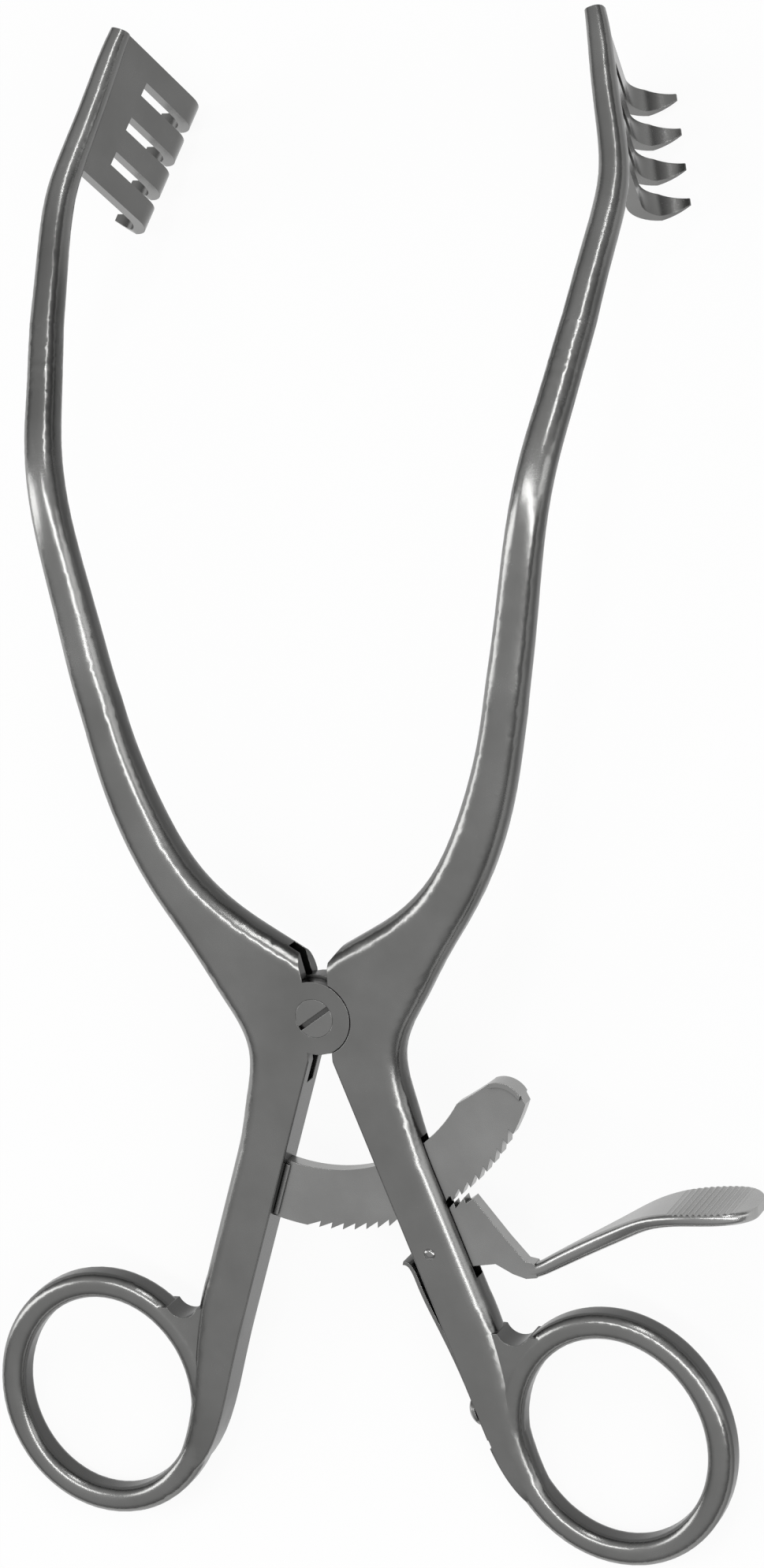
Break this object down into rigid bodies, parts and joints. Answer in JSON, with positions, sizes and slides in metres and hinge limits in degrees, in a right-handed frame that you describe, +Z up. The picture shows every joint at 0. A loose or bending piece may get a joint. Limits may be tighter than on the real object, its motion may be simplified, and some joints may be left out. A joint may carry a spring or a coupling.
{
  "type": "self retaining surgical retractor",
  "caption": "Hinged self retaining retractor with angled arms, sharp pronged claws, finger rings, a toothed ratchet bar and a sprung thumb release, for holding a wound open.",
  "frame": {"origin": "middle of the footprint, on the table that the rings and claws rest on", "axes": "+X to the right hand side seen from the screw head's side, +Y from the finger rings towards the claws, +Z up from the table"},
  "size_m": [0.108, 0.1958, 0.041],
  "materials": {
    "satin_steel": "satin",
    "polished_steel": "satin",
    "spring_steel": "satin"
  },
  "bodies": {
    "left_side": {"left_half": "satin_steel", "ratchet_bar": "satin_steel", "pivot_screw": "polished_steel"},
    "right_side": {"right_half": "satin_steel", "lever_pin": "polished_steel", "leaf_spring": "spring_steel", "spring_screw": "polished_steel"},
    "lever": {"release_lever": "satin_steel"}
  },
  "joints": [
    {"name": "main_pivot", "type": "hinge", "parent": "left_side", "child": "right_side", "pos_m": [-0.00294, -0.02822, 0.02142], "axis": [0, -0.2722, 0.9622], "range_deg": [-26, 19.5]},
    {"name": "lever_hinge", "type": "hinge", "parent": "right_side", "child": "lever", "pos_m": [0.01032, -0.05794, 0.01301], "axis": [0, -0.2722, 0.9622], "range_deg": [-12, 6], "stiffness_Nm_per_rad": 0.05, "springref_deg": 6, "deforming": ["leaf_spring"]}
  ]
}
